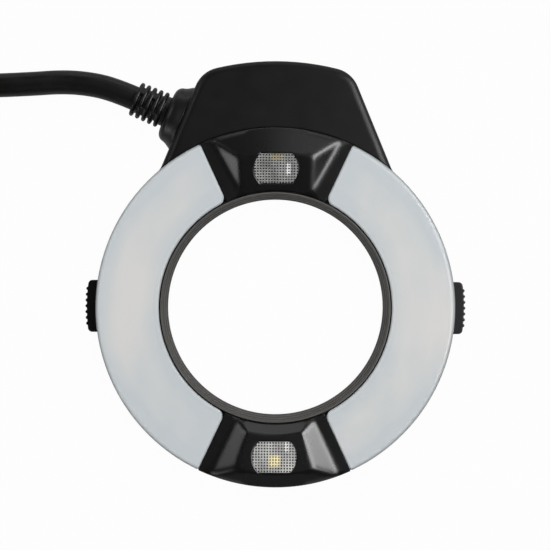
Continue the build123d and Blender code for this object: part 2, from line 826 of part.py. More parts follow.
# Crossing release sliders: each button draws back the catch on the far side
for side, middle in sides.items():
    level = slider_levels[side]
    button_plane = Plane.XY.rotated((0, 0, middle))
    catch_plane = Plane.XY.rotated((0, 0, middle + 180))
    with BuildPart() as slider:
        with BuildSketch(button_plane.offset(level)):
            Circle(slider_outer_radius)
            Circle(slider_inner_radius, mode=Mode.SUBTRACT)
            arm_end = button_inner_face + button_socket
            with Locations(((slider_root_radius + arm_end) / 2, 0)):
                Rectangle(arm_end - slider_root_radius, 2 * slider_arm_half_width)
        extrude(amount=slider_plate)
        with BuildSketch(catch_plane.offset(level)):
            with Locations(((slider_root_radius + catch_radius - overrun) / 2, 0)):
                Rectangle(slider_root_radius - catch_radius + overrun, 2 * catch_half_width)
            Circle(catch_radius, mode=Mode.SUBTRACT)
        extrude(amount=slider_plate)
        with BuildSketch(catch_plane.offset(catch_bottom)):
            with Locations((catch_radius, 0)):
                Rectangle(2 * catch_thickness, 2 * catch_half_width)
            Circle(catch_radius, mode=Mode.SUBTRACT)
        extrude(amount=catch_top - catch_bottom)
    slider.part.label = f"{side}_release_slider"
    export_step(slider.part, f"parts/{side}_release_slider.step")

    with BuildPart() as button:
        with BuildSketch(button_plane.offset(button_bottom)) as face:
            with Locations(((button_inner_face + button_reach) / 2, 0)):
                Rectangle(button_reach - button_inner_face, 2 * button_half_height)
            Circle(button_reach, mode=Mode.INTERSECT)
            fillet(face.vertices().sort_by(Axis.X)[-2:], button_corner_radius)
            for i in range(ridge_count):
                beside = (i - (ridge_count - 1) / 2) * ridge_pitch
                with Locations((circle_height(button_reach - ridge_sink, beside), beside)):
                    Circle(ridge_radius)
        extrude(amount=button_top - button_bottom)
        socket_bottom = level - part_gap
        with BuildSketch(button_plane.offset(socket_bottom)):
            with Locations((button_inner_face + button_socket / 2, 0)):
                Rectangle(button_socket + part_gap, 2 * (slider_arm_half_width + part_gap))
        extrude(amount=slider_plate + 2 * part_gap, mode=Mode.SUBTRACT)
        pin_end = button_plane.from_local_coords((button_inner_face - spring_pin_length, 0, spring_height))
        with BuildSketch(Plane(origin=pin_end, z_dir=button_plane.x_dir)):
            Circle(spring_pin_radius)
        extrude(amount=spring_pin_length)
    button.part.label = f"{side}_button"
    export_step(button.part, f"parts/{side}_button.step")

    with BuildPart() as spring:
        coil_start = rear_tube_radius + spring_seat_gap + spring_wire_radius
        coil_length = button_inner_face - spring_seat_gap - spring_wire_radius - coil_start
        coil_base = button_plane.from_local_coords((coil_start, 0, spring_height))
        with BuildLine() as spring_wire:
            Helix(
                coil_length / spring_turns,
                coil_length,
                spring_radius - spring_wire_radius,
                center=coil_base,
                direction=button_plane.x_dir,
            )
        with BuildSketch(Plane(origin=spring_wire.line @ 0, z_dir=spring_wire.line % 0)):
            Circle(spring_wire_radius)
        sweep(path=spring_wire.line, is_frenet=True)
    spring.part.label = f"{side}_return_spring"
    export_step(spring.part, f"parts/{side}_return_spring.step")

# Faceted black housings of the two focusing lamps, with their lenses, chips and boards
for name, shape in lamp_shapes.items():
    middle = lamps[name]
    brink_radius = across_ring(shape["brink_share"])
    brink_height = lamp_base_height + shape["brink_rise"]
    crest_radius = across_ring(shape["crest_share"])
    near_radius = across_ring(shape["near_share"])
    near_half_width = shape["near_half_width"]
    far_radius = across_ring(shape["far_share"])
    far_half_width = shape["far_half_width"]
    lens_place = across_ring(shape["lens_share"])
    lamp_frame = Plane.XY.rotated((0, 0, middle)).location
    face_slope = (crest_height - brink_height) / (crest_radius - brink_radius)
    face_run = hypot(1, face_slope)
    face_along = (1 / face_run, 0, face_slope / face_run)
    face_normal = (-face_slope / face_run, 0, 1 / face_run)
    lens_height = crest_height - face_slope * (crest_radius - lens_place)
    crest_plane = Plane(origin=(crest_radius, 0, crest_height), x_dir=face_along, z_dir=face_normal)
    face_plane = Plane(lamp_frame * crest_plane.location)
    upright_lens = Plane(origin=(lens_place, 0, lens_height), x_dir=face_along, z_dir=face_normal)
    lens_plane = Plane(lamp_frame * upright_lens.location)
    foot_run = hypot(far_radius - near_radius, far_half_width - near_half_width)
    foot_along = ((far_radius - near_radius) / foot_run, (far_half_width - near_half_width) / foot_run)
    crest_inside = (
        foot_along[1] * (crest_radius - near_radius)
        - foot_along[0] * (shape["crest_half_width"] - near_half_width)
    )
    side_slope = (crest_height - lamp_base_height) / crest_inside
    outer_foot = ring_radius - part_gap
    block_top = crest_height + overrun

    with BuildPart() as lamp_housing:
        with BuildSketch(Plane.XY.offset(seat_height)):
            add(ring_sector(diffuser_inner_radius, outer_foot, lamp_half_angle, middle))
        extrude(amount=block_top - seat_height)
        with BuildSketch(face_plane):
            Rectangle(ring_radius, ring_radius)
        extrude(amount=ring_radius, mode=Mode.SUBTRACT)
        for side in (-1, 1):
            upright_side = Plane(
                origin=(near_radius, side * near_half_width, lamp_base_height),
                z_dir=(-foot_along[1] * side_slope, side * foot_along[0] * side_slope, 1),
            )
            with BuildSketch(Plane(lamp_frame * upright_side.location)):
                Rectangle(2 * ring_radius, 2 * ring_radius)
            extrude(amount=ring_radius, mode=Mode.SUBTRACT)
        with BuildSketch(Plane.XZ):
            outer_slope = (crest_height - lamp_base_height) / (outer_foot - crest_radius)
            with BuildLine():
                Polyline(
                    (outer_foot, lamp_base_height),
                    (outer_foot - (block_top - lamp_base_height) / outer_slope, block_top),
                    (outer_foot + overrun, block_top),
                    (outer_foot + overrun, lamp_base_height),
                    close=True,
                )
            make_face()
            if brink_radius > diffuser_inner_radius:
                inner_slope = (brink_height - lamp_base_height) / (brink_radius - diffuser_inner_radius)
                with BuildLine():
                    Polyline(
                        (diffuser_inner_radius, lamp_base_height),
                        (diffuser_inner_radius + (block_top - lamp_base_height) / inner_slope, block_top),
                        (diffuser_inner_radius - overrun, block_top),
                        (diffuser_inner_radius - overrun, lamp_base_height),
                        close=True,
                    )
                make_face()
        revolve(axis=Axis.Z, mode=Mode.SUBTRACT)
        with BuildSketch(Plane.XY.offset(seat_height)):
            add(ring_sector(diffuser_inner_radius, outer_foot, lamp_half_angle, middle))
        extrude(amount=lamp_base_height - seat_height)
        round_from = lamp_base_height + lamp_edge_round
        fillet(lamp_housing.edges().filter_by_position(Axis.Z, round_from, block_top), lamp_edge_round)
        with BuildSketch(lens_plane):
            Circle(lens_radius + lens_gap)
            Rectangle(2 * (lens_half_height + lens_gap), 2 * (lens_radius + overrun), mode=Mode.INTERSECT)
        extrude(amount=-lens_thickness - lens_sink, mode=Mode.SUBTRACT)
        board_plane = Plane(lamp_frame * Plane(origin=(lens_place, 0, seat_height)).location)
        with BuildSketch(board_plane):
            Rectangle(2 * lamp_well_half_height, 2 * lamp_well_half_width)
        extrude(amount=lens_height - lamp_well_margin - seat_height, mode=Mode.SUBTRACT)
        with BuildSketch(board_plane):
            Rectangle(2 * (lamp_board_half_height + part_gap), 2 * (lamp_board_half_width + part_gap))
        extrude(amount=lamp_board_thickness + part_gap, mode=Mode.SUBTRACT)
    lamp_housing.part.label = f"{name}_lamp_housing"
    export_step(lamp_housing.part, f"parts/{name}_lamp_housing.step")

    lens_front = lens_plane.offset(-lens_sink)
    with BuildPart() as lamp_lens:
        with BuildSketch(lens_front):
            Circle(lens_radius)
            Rectangle(2 * lens_half_height, 2 * lens_radius, mode=Mode.INTERSECT)
        extrude(amount=-lens_thickness)
        groove_directions = (
            (lens_front.x_dir, lens_front.y_dir, lens_radius),
            (lens_front.y_dir, lens_front.x_dir, lens_half_height),
        )
        for along, across, reach in groove_directions:
            cell_count = round(2 * reach / lens_cell)
            groove_run = across.cross(lens_front.z_dir)
            groove_plane = Plane(origin=lens_front.origin, x_dir=across, z_dir=groove_run)
            with BuildSketch(groove_plane):
                for i in range(cell_count + 1):
                    beside = (i - cell_count / 2) * lens_cell
                    with BuildLine():
                        Polyline(
                            (beside - lens_groove_half_width, lens_gap),
                            (beside + lens_groove_half_width, lens_gap),
                            (beside, -lens_cell_depth),
                            close=True,
                        )
                    make_face()
            extrude(amount=lens_radius + overrun, both=True, mode=Mode.SUBTRACT)
    lamp_lens.part.label = f"{name}_lamp_lens"
    export_step(lamp_lens.part, f"parts/{name}_lamp_lens.step")

    with BuildPart() as lamp_board:
        with BuildSketch(board_plane):
            Rectangle(2 * lamp_board_half_height, 2 * lamp_board_half_width)
        extrude(amount=lamp_board_thickness)
    lamp_board.part.label = f"{name}_lamp_board"
    export_step(lamp_board.part, f"parts/{name}_lamp_board.step")

    with BuildPart() as lamp_led:
        with BuildSketch(board_plane.offset(lamp_board_thickness)):
            RectangleRounded(2 * lamp_chip_half, 2 * lamp_chip_half, lamp_chip_round)
        extrude(amount=lamp_chip)
    lamp_led.part.label = f"{name}_lamp_led"
    export_step(lamp_led.part, f"parts/{name}_lamp_led.step")

# Screws that hold the shells together, put in from the rear
with BuildPart() as case_screws:
    head_bottom = case_screw_recess - case_screw_head
    with BuildSketch(Plane.XY.offset(head_bottom)):
        with Locations(*case_post_places):
            Circle(case_screw_head_radius)
    extrude(amount=case_screw_head)
    with BuildSketch(Plane.XY.offset(case_screw_recess)):
        with Locations(*case_post_places):
            Circle(case_screw_radius)
    extrude(amount=case_screw_length)
    with BuildSketch(Plane.XY.offset(head_bottom)):
        with Locations(*case_post_places):
            Rectangle(2 * cross_slot_share * case_screw_head_radius, slot_width)
            Rectangle(slot_width, 2 * cross_slot_share * case_screw_head_radius)
    extrude(amount=slot_depth, mode=Mode.SUBTRACT)
case_screws.part.label = "case_screws"
export_step(case_screws.part, "parts/case_screws.step")

# Control board in the lobe, with its transformer, capacitor and connector
board_width = board_right - board_left
board_length = board_high - board_low
board_middle = ((board_left + board_right) / 2, (board_low + board_high) / 2)
control_board_top = control_board_bottom + board_thickness
with BuildPart() as control_board:
    with BuildSketch(Plane.XY.offset(control_board_bottom)):
        with Locations(board_middle):
            RectangleRounded(board_width, board_length, small_part_round)
        with Locations(*control_posts):
            Circle(small_screw_radius + part_gap, mode=Mode.SUBTRACT)
    extrude(amount=board_thickness)
control_board.part.label = "control_board"
export_step(control_board.part, "parts/control_board.step")

with BuildPart() as control_board_screws:
    with BuildSketch(Plane.XY.offset(control_board_top)):
        with Locations(*control_posts):
            Circle(small_head_radius)
    extrude(amount=small_head)
    with BuildSketch(Plane.XY.offset(control_board_top - small_screw_reach)):
        with Locations(*control_posts):
            Circle(small_screw_radius)
    extrude(amount=small_screw_reach)
    with BuildSketch(Plane.XY.offset(control_board_top + small_head - slot_depth)):
        with Locations(*control_posts):
            Rectangle(2 * small_head_radius, slot_width)
    extrude(amount=slot_depth, mode=Mode.SUBTRACT)
control_board_screws.part.label = "control_board_screws"
export_step(control_board_screws.part, "parts/control_board_screws.step")

with BuildPart() as trigger_transformer:
    core_wall_plane = Plane.XY.offset(control_board_top + transformer_core_wall)
    with BuildSketch(Plane.XY.offset(control_board_top)):
        with Locations((transformer_x, board_middle[1])):
            Rectangle(transformer_width, board_length * transformer_length_share)
    extrude(amount=transformer_height)
    with BuildSketch(core_wall_plane):
        with Locations((transformer_x, board_middle[1])):
            Rectangle(transformer_width - 2 * transformer_core_wall, board_length)
    extrude(amount=transformer_height - 2 * transformer_core_wall, mode=Mode.SUBTRACT)
    with BuildSketch(core_wall_plane):
        with Locations((transformer_x, board_middle[1])):
            Circle((transformer_width / 2 - transformer_core_wall) * transformer_coil_share)
    extrude(amount=transformer_height - 2 * transformer_core_wall)
trigger_transformer.part.label = "trigger_transformer"
export_step(trigger_transformer.part, "parts/trigger_transformer.step")

with BuildPart() as trigger_capacitor:
    capacitor_length = board_length * capacitor_length_share
    capacitor_start = board_middle[1] - capacitor_length / 2
    capacitor_end = (capacitor_x, capacitor_start, control_board_top + capacitor_radius)
    with BuildSketch(Plane(origin=capacitor_end, z_dir=(0, 1, 0))):
        Circle(capacitor_radius)
    extrude(amount=capacitor_length)
    fillet(trigger_capacitor.edges().filter_by(GeomType.CIRCLE), small_part_round)
trigger_capacitor.part.label = "trigger_capacitor"
export_step(trigger_capacitor.part, "parts/trigger_capacitor.step")

with BuildPart() as wire_connector:
    connector_length = board_length * connector_length_share
    with BuildSketch(Plane.XY.offset(control_board_top)):
        with Locations((connector_x, board_middle[1])):
            Rectangle(connector_width, connector_length)
    extrude(amount=connector_height)
    with BuildSketch(Plane.XY.offset(control_board_top + connector_wall)):
        with Locations((connector_x, board_middle[1])):
            Rectangle(connector_width - 2 * connector_wall, connector_length - 2 * connector_wall)
    extrude(amount=connector_height, mode=Mode.SUBTRACT)
wire_connector.part.label = "wire_connector"
export_step(wire_connector.part, "parts/wire_connector.step")

# Rubber gland trapped in the wall between the shells
cable_bore_radius = cable_radius + cable_bore_gap
with BuildPart() as cable_gland:
    for distance, half_width, half_height in gland_sections:
        with BuildSketch(entry_plane(distance)):
            Ellipse(half_width, half_height)
    loft()
    outer_rim = cable_gland.edges().sort_by(Axis(wall_entry, wall_out))[-1]
    fillet(outer_rim, gland_edge_round)
    with BuildSketch(entry_plane(-wall)):
        Circle(gland_spigot_radius)
    extrude(amount=wall)
    with BuildSketch(entry_plane(-wall - part_gap - gland_flange)):
        Circle(gland_flange_radius)
    extrude(amount=gland_flange)
    with BuildSketch(entry_plane(-wall - part_gap)):
        Circle(gland_spigot_radius)
    extrude(amount=part_gap)
    with BuildSketch(entry_plane(-wall - part_gap - gland_flange)):
        Circle(cable_bore_radius)
    extrude(amount=wall + part_gap + gland_flange + gland_outer_reach, mode=Mode.SUBTRACT)
cable_gland.part.label = "cable_gland"
export_step(cable_gland.part, "parts/cable_gland.step")

# Ribbed strain relief: ribs joined by webs that change sides from gap to gap
relief_profile = Plane(origin=wall_entry, x_dir=wall_out, z_dir=wall_along)
relief_first_rib = gland_outer_reach + relief_neck + relief_rib_half
relief_reach = relief_first_rib + (relief_rib_count - 1) * relief_rib_pitch + relief_rib_half
with BuildPart() as strain_relief:
    with BuildSketch(relief_profile):
        with Locations((gland_outer_reach, cable_bore_radius)):
            Rectangle(
                relief_neck + relief_rib_half,
                relief_neck_radius - cable_bore_radius,
                align=(Align.MIN, Align.MIN),
            )
            Rectangle(
                relief_reach - gland_outer_reach,
                relief_core_radius - cable_bore_radius,
                align=(Align.MIN, Align.MIN),
            )
        for i in range(relief_rib_count):
            rib_share = i / (relief_rib_count - 1)
            rib_radius = relief_rib_radius + (relief_tip_radius - relief_rib_radius) * rib_share
            with Locations((relief_first_rib + i * relief_rib_pitch, cable_bore_radius)):
                Rectangle(
                    2 * relief_rib_half,
                    rib_radius - cable_bore_radius - relief_rib_half,
                    align=(Align.CENTER, Align.MIN),
                )
            with Locations((relief_first_rib + i * relief_rib_pitch, rib_radius - relief_rib_half)):
                Circle(relief_rib_half)
    revolve(axis=Axis(wall_entry, wall_out))
    for i in range(relief_rib_count - 1):
        web_top = relief_tip_radius - relief_rib_half / 2
        with BuildSketch(entry_plane(relief_first_rib + i * relief_rib_pitch)):
            first_angle = relief_web_angle if i % 2 == 0 else 180 - relief_web_angle
            with PolarLocations((relief_core_radius + web_top) / 2, 2, start_angle=first_angle):
                Rectangle(web_top - relief_core_radius + overrun / 2, 2 * relief_web_half_width)
            Circle(cable_bore_radius, mode=Mode.SUBTRACT)
        extrude(amount=relief_rib_pitch)
strain_relief.part.label = "strain_relief"
export_step(strain_relief.part, "parts/strain_relief.step")

# Saddle that clamps the cable on the cradle of the rear shell
clamp_ear_top = Vector(cradle_middle.X, cradle_middle.Y, cable_height + clamp_ear)
clamp_plane = Plane(origin=clamp_ear_top, x_dir=wall_along, z_dir=(0, 0, 1))
clamp_screw_length = clamp_ear - clamp_joint_gap + small_screw_reach
with BuildPart() as cable_clamp:
    with BuildSketch(entry_plane(clamp_half_thickness - clamp_distance)):
        RectangleRounded(2 * clamp_half_width, 2 * clamp_ear, clamp_round)
        Circle(cable_radius + clamp_wall)
        with Locations((0, clamp_joint_gap)):
            Rectangle(
                2 * clamp_half_width,
                cable_radius + clamp_wall,
                align=(Align.CENTER, Align.MIN),
                mode=Mode.INTERSECT,
            )
        Circle(cable_bore_radius, mode=Mode.SUBTRACT)
    extrude(amount=-2 * clamp_half_thickness)
    with BuildSketch(clamp_plane):
        with Locations((-clamp_screw_offset, 0), (clamp_screw_offset, 0)):
            Circle(small_screw_radius + part_gap)
    extrude(amount=-clamp_ear, mode=Mode.SUBTRACT)
cable_clamp.part.label = "cable_clamp"
export_step(cable_clamp.part, "parts/cable_clamp.step")

with BuildPart() as cable_clamp_screws:
    with BuildSketch(clamp_plane):
        with Locations((-clamp_screw_offset, 0), (clamp_screw_offset, 0)):
            Circle(small_head_radius)
    extrude(amount=small_head)
    with BuildSketch(clamp_plane):
        with Locations((-clamp_screw_offset, 0), (clamp_screw_offset, 0)):
            Circle(small_screw_radius)
    extrude(amount=-clamp_screw_length)
    with BuildSketch(clamp_plane.offset(small_head - slot_depth)):
        with Locations((-clamp_screw_offset, 0), (clamp_screw_offset, 0)):
            Rectangle(slot_width, 2 * small_head_radius)
    extrude(amount=slot_depth, mode=Mode.SUBTRACT)
cable_clamp_screws.part.label = "cable_clamp_screws"
export_step(cable_clamp_screws.part, "parts/cable_clamp_screws.step")

# The length of cable that the head holds, from its inner end to the tip of the strain relief
with BuildPart() as cable_inner_end:
    with BuildSketch(entry_plane(-cable_inner_reach)):
        Circle(cable_radius)
    extrude(amount=cable_inner_reach + relief_reach)
cable_inner_end.part.label = "cable_inner_end"
export_step(cable_inner_end.part, "parts/cable_inner_end.step")

# Coil: one layer spirals in, climbs at its middle and spirals out on top
coil_centre = Vector(wall_entry.X + coil_offset_x, wall_entry.Y + coil_offset_y, 0)
cable_diameter = 2 * cable_radius
coil_pitch = cable_diameter + coil_gap
coil_reverse = 180 * coil_turns
coil_bottom = cable_radius + tie_gap + tie_thickness
coil_inner_radius = coil_outer_radius - coil_pitch * coil_turns / 2


def coil_place(turned):
    """The middle of the cable after that many degrees along the coil."""
    radius = coil_inner_radius + coil_pitch * abs(turned - coil_reverse) / 360
    climb = min(max((turned - coil_reverse) / coil_climb_angle + 0.5, 0), 1)
    height = coil_bottom + coil_pitch * climb**2 * (3 - 2 * climb)
    return coil_centre + unit(coil_start_angle + turned) * radius + Vector(0, 0, height)


def coil_direction(turned):
    """The cable's direction there."""
    return (coil_place(turned + 1) - coil_place(turned - 1)).normalized()


coil_last = 360 * coil_turns
coil_entry_direction = coil_direction(1)
coil_exit_direction = coil_direction(coil_last - 1)
coil_entry = coil_place(0) - coil_entry_direction * cable_diameter
coil_exit = coil_place(coil_last) + coil_exit_direction * cable_diameter
coil_step_count = round(coil_steps_per_turn * coil_turns)
with BuildPart() as cable_coil:
    with BuildLine() as coil_line:
        Line(coil_entry, coil_place(0))
        for i in range(coil_step_count):
            first = coil_last * i / coil_step_count
            second = coil_last * (i + 1) / coil_step_count
            start, end = coil_place(first), coil_place(second)
            leave = coil_entry_direction if i == 0 else coil_direction(first)
            arrive = coil_exit_direction if i == coil_step_count - 1 else coil_direction(second)
            chord = end - start
            both = leave + arrive
            spread = 2 * (1 - leave.dot(arrive))
            reach = (sqrt(chord.dot(both) ** 2 + chord.dot(chord) * spread) - chord.dot(both)) / spread
            knee_in = start + leave * reach
            knee_out = end - arrive * reach
            middle_place = (knee_in + knee_out) / 2
            TangentArc(start, middle_place, tangent=leave)
            TangentArc(middle_place, end, tangent=knee_out - knee_in)
        Line(coil_place(coil_last), coil_exit)
    with BuildSketch(Plane(origin=coil_entry, z_dir=coil_entry_direction)):
        Circle(cable_radius)
    sweep(path=coil_line.wire())
cable_coil.part.label = "cable_coil"
export_step(cable_coil.part, "parts/cable_coil.step")


def bend_radii(points):
    """The largest arc that the runs beside each corner leave room for."""
    radii = []
    for before, here, after in zip(points, points[1:], points[2:]):
        turn = radians((here - before).get_angle(after - here))
        radii.append(0.45 * min((here - before).length, (after - here).length) / tan(turn / 2))
    return radii


# Free stretch from the strain relief to the coil
cable_start = wall_entry + wall_out * relief_reach
cable_points = [
    cable_start,
    cable_start + wall_out * cable_lead,
    *[Vector(wall_entry.X + x, wall_entry.Y + y, coil_bottom + rise) for x, y, rise in cable_route],
    coil_entry - coil_entry_direction * coil_approach,
    coil_entry,
]
cable_radii = bend_radii(cable_points)
with BuildPart() as cable:
    with BuildLine() as cable_line:
        FilletPolyline(*cable_points, radius=cable_radii)
    with BuildSketch(Plane(origin=cable_start, z_dir=wall_out)):
        Circle(cable_radius)
    sweep(path=cable_line.wire())
cable.part.label = "cable"
export_step(cable.part, "parts/cable.step")

# Stretch from the coil to the plug
tail_points = [
    coil_exit,
    coil_exit + coil_exit_direction * tail_lead,
    *[coil_centre + Vector(x, y, plug_radius + rise) for x, y, rise in tail_route],
]
tail_radii = bend_radii(tail_points)
with BuildPart() as cable_tail:
    with BuildLine() as tail_line:
        FilletPolyline(*tail_points, radius=tail_radii)
    with BuildSketch(Plane(origin=coil_exit, z_dir=coil_exit_direction)):
        Circle(cable_radius)
    sweep(path=tail_line.wire())
cable_tail.part.label = "cable_tail"
export_step(cable_tail.part, "parts/cable_tail.step")

# Strap round the turns
with BuildPart() as coil_tie:
    lower_turned = tie_angle - coil_start_angle
    upper_turned = lower_turned + 360
    tie_start = tie_angle - degrees(tie_half_width / coil_outer_radius)
    tie_plane = Plane(origin=coil_centre, x_dir=unit(tie_start), z_dir=unit(tie_start - 90))
    tie_axis = Axis(coil_centre, (0, 0, 1))
    tie_places = []
    for turned in (lower_turned, upper_turned):
        spot = coil_place(turned) - coil_centre
        tie_places.append((hypot(spot.X, spot.Y), spot.Z))
    with BuildSketch(tie_plane):
        with Locations(*tie_places):
            Circle(cable_radius + tie_gap + tie_thickness)
        make_hull()
    tie_arc = 2 * degrees(tie_half_width / coil_outer_radius)
    revolve(axis=tie_axis, revolution_arc=tie_arc)
    with BuildSketch(tie_plane):
        with Locations(*tie_places):
            Circle(cable_radius + tie_gap)
        make_hull()
    revolve(axis=tie_axis, revolution_arc=tie_arc, mode=Mode.SUBTRACT)
coil_tie.part.label = "coil_tie"
export_step(coil_tie.part, "parts/coil_tie.step")

# Plug
plug_origin = tail_points[-1]
plug_along = (plug_origin - tail_points[-2]).normalized()
plug_profile = Plane(origin=plug_origin, x_dir=plug_along, z_dir=plug_along.cross(Vector(0, 0, 1)))
plug_axis = Axis(plug_origin, plug_along)
plug_end = plug_relief + plug_shoulder + plug_grip


def plug_plane(distance):
    """The plane square to the plug's axis, that far from the cable."""
    return Plane(origin=plug_origin + plug_along * distance, x_dir=plug_profile.z_dir, z_dir=plug_along)


with BuildPart() as plug_body:
    with BuildSketch(plug_profile):
        with BuildLine():
            Polyline(
                (0, 0),
                (0, plug_relief_radius),
                (plug_relief, plug_relief_root_radius),
                (plug_relief + plug_shoulder, plug_radius),
                (plug_end, plug_radius),
                (plug_end, 0),
                close=True,
            )
        make_face()
        groove_start = plug_relief + plug_shoulder + plug_groove_pitch
        for i in range(plug_groove_count):
            with Locations((groove_start + i * plug_groove_pitch, plug_radius)):
                Rectangle(plug_groove, 2 * plug_groove_depth, mode=Mode.SUBTRACT)
    revolve(axis=plug_axis)
    with BuildSketch(plug_plane(plug_end)):
        Circle(sleeve_radius + fit_gap)
    extrude(amount=-sleeve_seat, mode=Mode.SUBTRACT)
plug_body.part.label = "plug_body"
export_step(plug_body.part, "parts/plug_body.step")

with BuildPart() as plug_sleeve:
    with BuildSketch(plug_plane(plug_end - sleeve_seat)):
        Circle(sleeve_radius)
        Circle(sleeve_bore_radius, mode=Mode.SUBTRACT)
    extrude(amount=sleeve_length)
    with BuildSketch(plug_plane(plug_end + sleeve_seat)):
        with PolarLocations(sleeve_radius, sleeve_knurl_count):
            Circle(slot_width / 2)
    extrude(amount=sleeve_length - 3 * sleeve_seat, mode=Mode.SUBTRACT)
plug_sleeve.part.label = "plug_sleeve"
export_step(plug_sleeve.part, "parts/plug_sleeve.step")

with BuildPart() as plug_insert:
    with BuildSketch(plug_plane(plug_end - sleeve_seat)):
        Circle(sleeve_bore_radius - fit_gap)
    extrude(amount=insert_length)
plug_insert.part.label = "plug_insert"
export_step(plug_insert.part, "parts/plug_insert.step")

with BuildPart() as plug_pins:
    with BuildSketch(plug_plane(plug_end - sleeve_seat + insert_length)):
        with PolarLocations(pin_ring_radius, pin_count):
            Circle(pin_radius)
    extrude(amount=pin_length)
    fillet(plug_pins.faces().sort_by(plug_axis)[-pin_count:].edges(), pin_radius / 2)
plug_pins.part.label = "plug_pins"
export_step(plug_pins.part, "parts/plug_pins.step")

# Measures of the cable
coil_sample_count = round(coil_samples_per_turn * coil_turns)
coil_samples = [coil_place(coil_last * i / coil_sample_count) for i in range(coil_sample_count + 1)]
half_turn_samples = coil_samples_per_turn // 2
least_gap = min(
    (coil_samples[i] - coil_samples[j]).length - cable_diameter
    for i in range(len(coil_samples))
    for j in range(i + half_turn_samples, len(coil_samples))
)
free_length = cable_line.wire().length + coil_line.wire().length + tail_line.wire().length
section = pi * cable_radius**2
print("cable bend radii", [round(radius, 1) for radius in cable_radii])
print("tail bend radii", [round(radius, 1) for radius in tail_radii])
print("coil inner radius", round(coil_inner_radius, 1), "least gap between turns", round(least_gap, 2))
print("free cable length", round(free_length, 1))
for piece, line in ((cable, cable_line), (cable_coil, coil_line), (cable_tail, tail_line)):
    swept = section * line.wire().length
    print(piece.part.label, "volume over section times length", round(piece.part.volume / swept, 4))
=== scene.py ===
import json
from math import cos, radians, sin, sqrt

import bpy
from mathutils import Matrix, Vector


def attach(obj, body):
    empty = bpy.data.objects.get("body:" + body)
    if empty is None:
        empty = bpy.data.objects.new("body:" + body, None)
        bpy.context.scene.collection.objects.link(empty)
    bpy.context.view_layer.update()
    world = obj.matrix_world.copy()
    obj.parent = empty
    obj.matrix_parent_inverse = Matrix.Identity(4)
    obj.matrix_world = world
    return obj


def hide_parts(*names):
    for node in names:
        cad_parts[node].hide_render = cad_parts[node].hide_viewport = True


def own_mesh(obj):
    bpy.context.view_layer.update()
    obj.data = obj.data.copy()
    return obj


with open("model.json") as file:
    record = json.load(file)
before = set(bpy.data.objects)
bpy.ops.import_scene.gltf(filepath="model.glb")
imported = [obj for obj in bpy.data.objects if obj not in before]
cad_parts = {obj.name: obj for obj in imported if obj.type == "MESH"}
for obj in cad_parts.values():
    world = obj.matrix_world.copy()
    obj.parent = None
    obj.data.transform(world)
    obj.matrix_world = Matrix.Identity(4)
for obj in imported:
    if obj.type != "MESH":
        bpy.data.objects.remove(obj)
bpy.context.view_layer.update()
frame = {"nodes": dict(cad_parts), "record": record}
scene = bpy.context.scene
scene.view_settings.view_transform = "Standard"
nodes_of = frame["nodes"]
slot_of = {entry["node"]: entry["material_slot"] for entry in frame["record"]["subparts"]}

# Camera: straight down onto the head, at the photo's distance
sensor_width_mm = 36.0
front_height = 0.025
camera_distance = 0.875
camera_roll = radians(0.36)
view_width = 0.18975
view_centre_x = -0.0002
view_centre_y = 0.0112
camera_data = bpy.data.cameras.new("camera")
camera_data.sensor_width = sensor_width_mm
camera_data.lens = sensor_width_mm * camera_distance / view_width
camera = bpy.data.objects.new("camera", camera_data)
camera.location = (view_centre_x, view_centre_y, front_height + camera_distance)
camera.rotation_euler = (0, 0, camera_roll)
scene.collection.objects.link(camera)
scene.camera = camera

# Cable: the route of part.py in metres, as one smooth line. First the place where it leaves the lobe's wall
cable_radius = 0.00425
cable_diameter = 2 * cable_radius
cable_height = 0.0118
cable_exit_share = 0.535
opening_radius = 0.0405
ring_width = 0.0218
ring_radius = opening_radius + ring_width
lobe_rise = 0.0231
lobe_height = ring_radius + lobe_rise
lobe_crown_radius = 0.089
lobe_root_half_width = 0.0403
lobe_lean = radians(22.6)
lobe_root_y = sqrt(ring_radius**2 - lobe_root_half_width**2)
root_above_centre = lobe_root_y - lobe_height + lobe_crown_radius
lean_x = sin(lobe_lean)
lean_y = cos(lobe_lean)
along_b = root_above_centre * lean_y - lobe_root_half_width * lean_x
along_c = lobe_root_half_width**2 + root_above_centre**2 - lobe_crown_radius**2
lobe_side_length = sqrt(along_b**2 - along_c) - along_b
wall_out = Vector((-lean_y, lean_x, 0))
wall_along = Vector((lean_x, lean_y, 0))
wall_root = Vector((-lobe_root_half_width, lobe_root_y, cable_height))
wall_entry = wall_root + wall_along * lobe_side_length * cable_exit_share

# Then its way down to the coil, the coil itself, and the tail with the plug
relief_reach = 0.01816
cable_lead = 0.0078
cable_route = (
    (-0.0322, 0.0120, 0.00615),
    (-0.0420, 0.01285, 0.0050),
    (-0.0547, 0.0121, 0.0024),
    (-0.0687, 0.0116, 0.0007),
    (-0.0822, 0.0110, 0.0),
)
tail_lead = 0.010
tail_route = (
    (-0.0527, -0.0310, 0.0050),
    (-0.0508, -0.0425, 0.0024),
    (-0.0478, -0.0535, 0.0),
    (-0.0448, -0.0640, 0.0),
)
plug_radius = 0.0082
tie_gap = 0.0004
tie_thickness = 0.0007
full_turn = 360
coil_turns = 2.25
coil_outer_radius = 0.053
coil_gap = 0.0007
coil_offset_x = -0.1255
coil_offset_y = -0.0428
coil_start_angle = 90
coil_climb_angle = 180
coil_approach = 0.0209
coil_step = 15
tangent_step = 2
coil_pitch = cable_diameter + coil_gap
coil_bottom = cable_radius + tie_gap + tie_thickness
coil_last = full_turn * coil_turns
coil_reverse = coil_last / 2
coil_inner_radius = coil_outer_radius - coil_pitch * coil_turns / 2
coil_centre = Vector((wall_entry.x + coil_offset_x, wall_entry.y + coil_offset_y, 0))


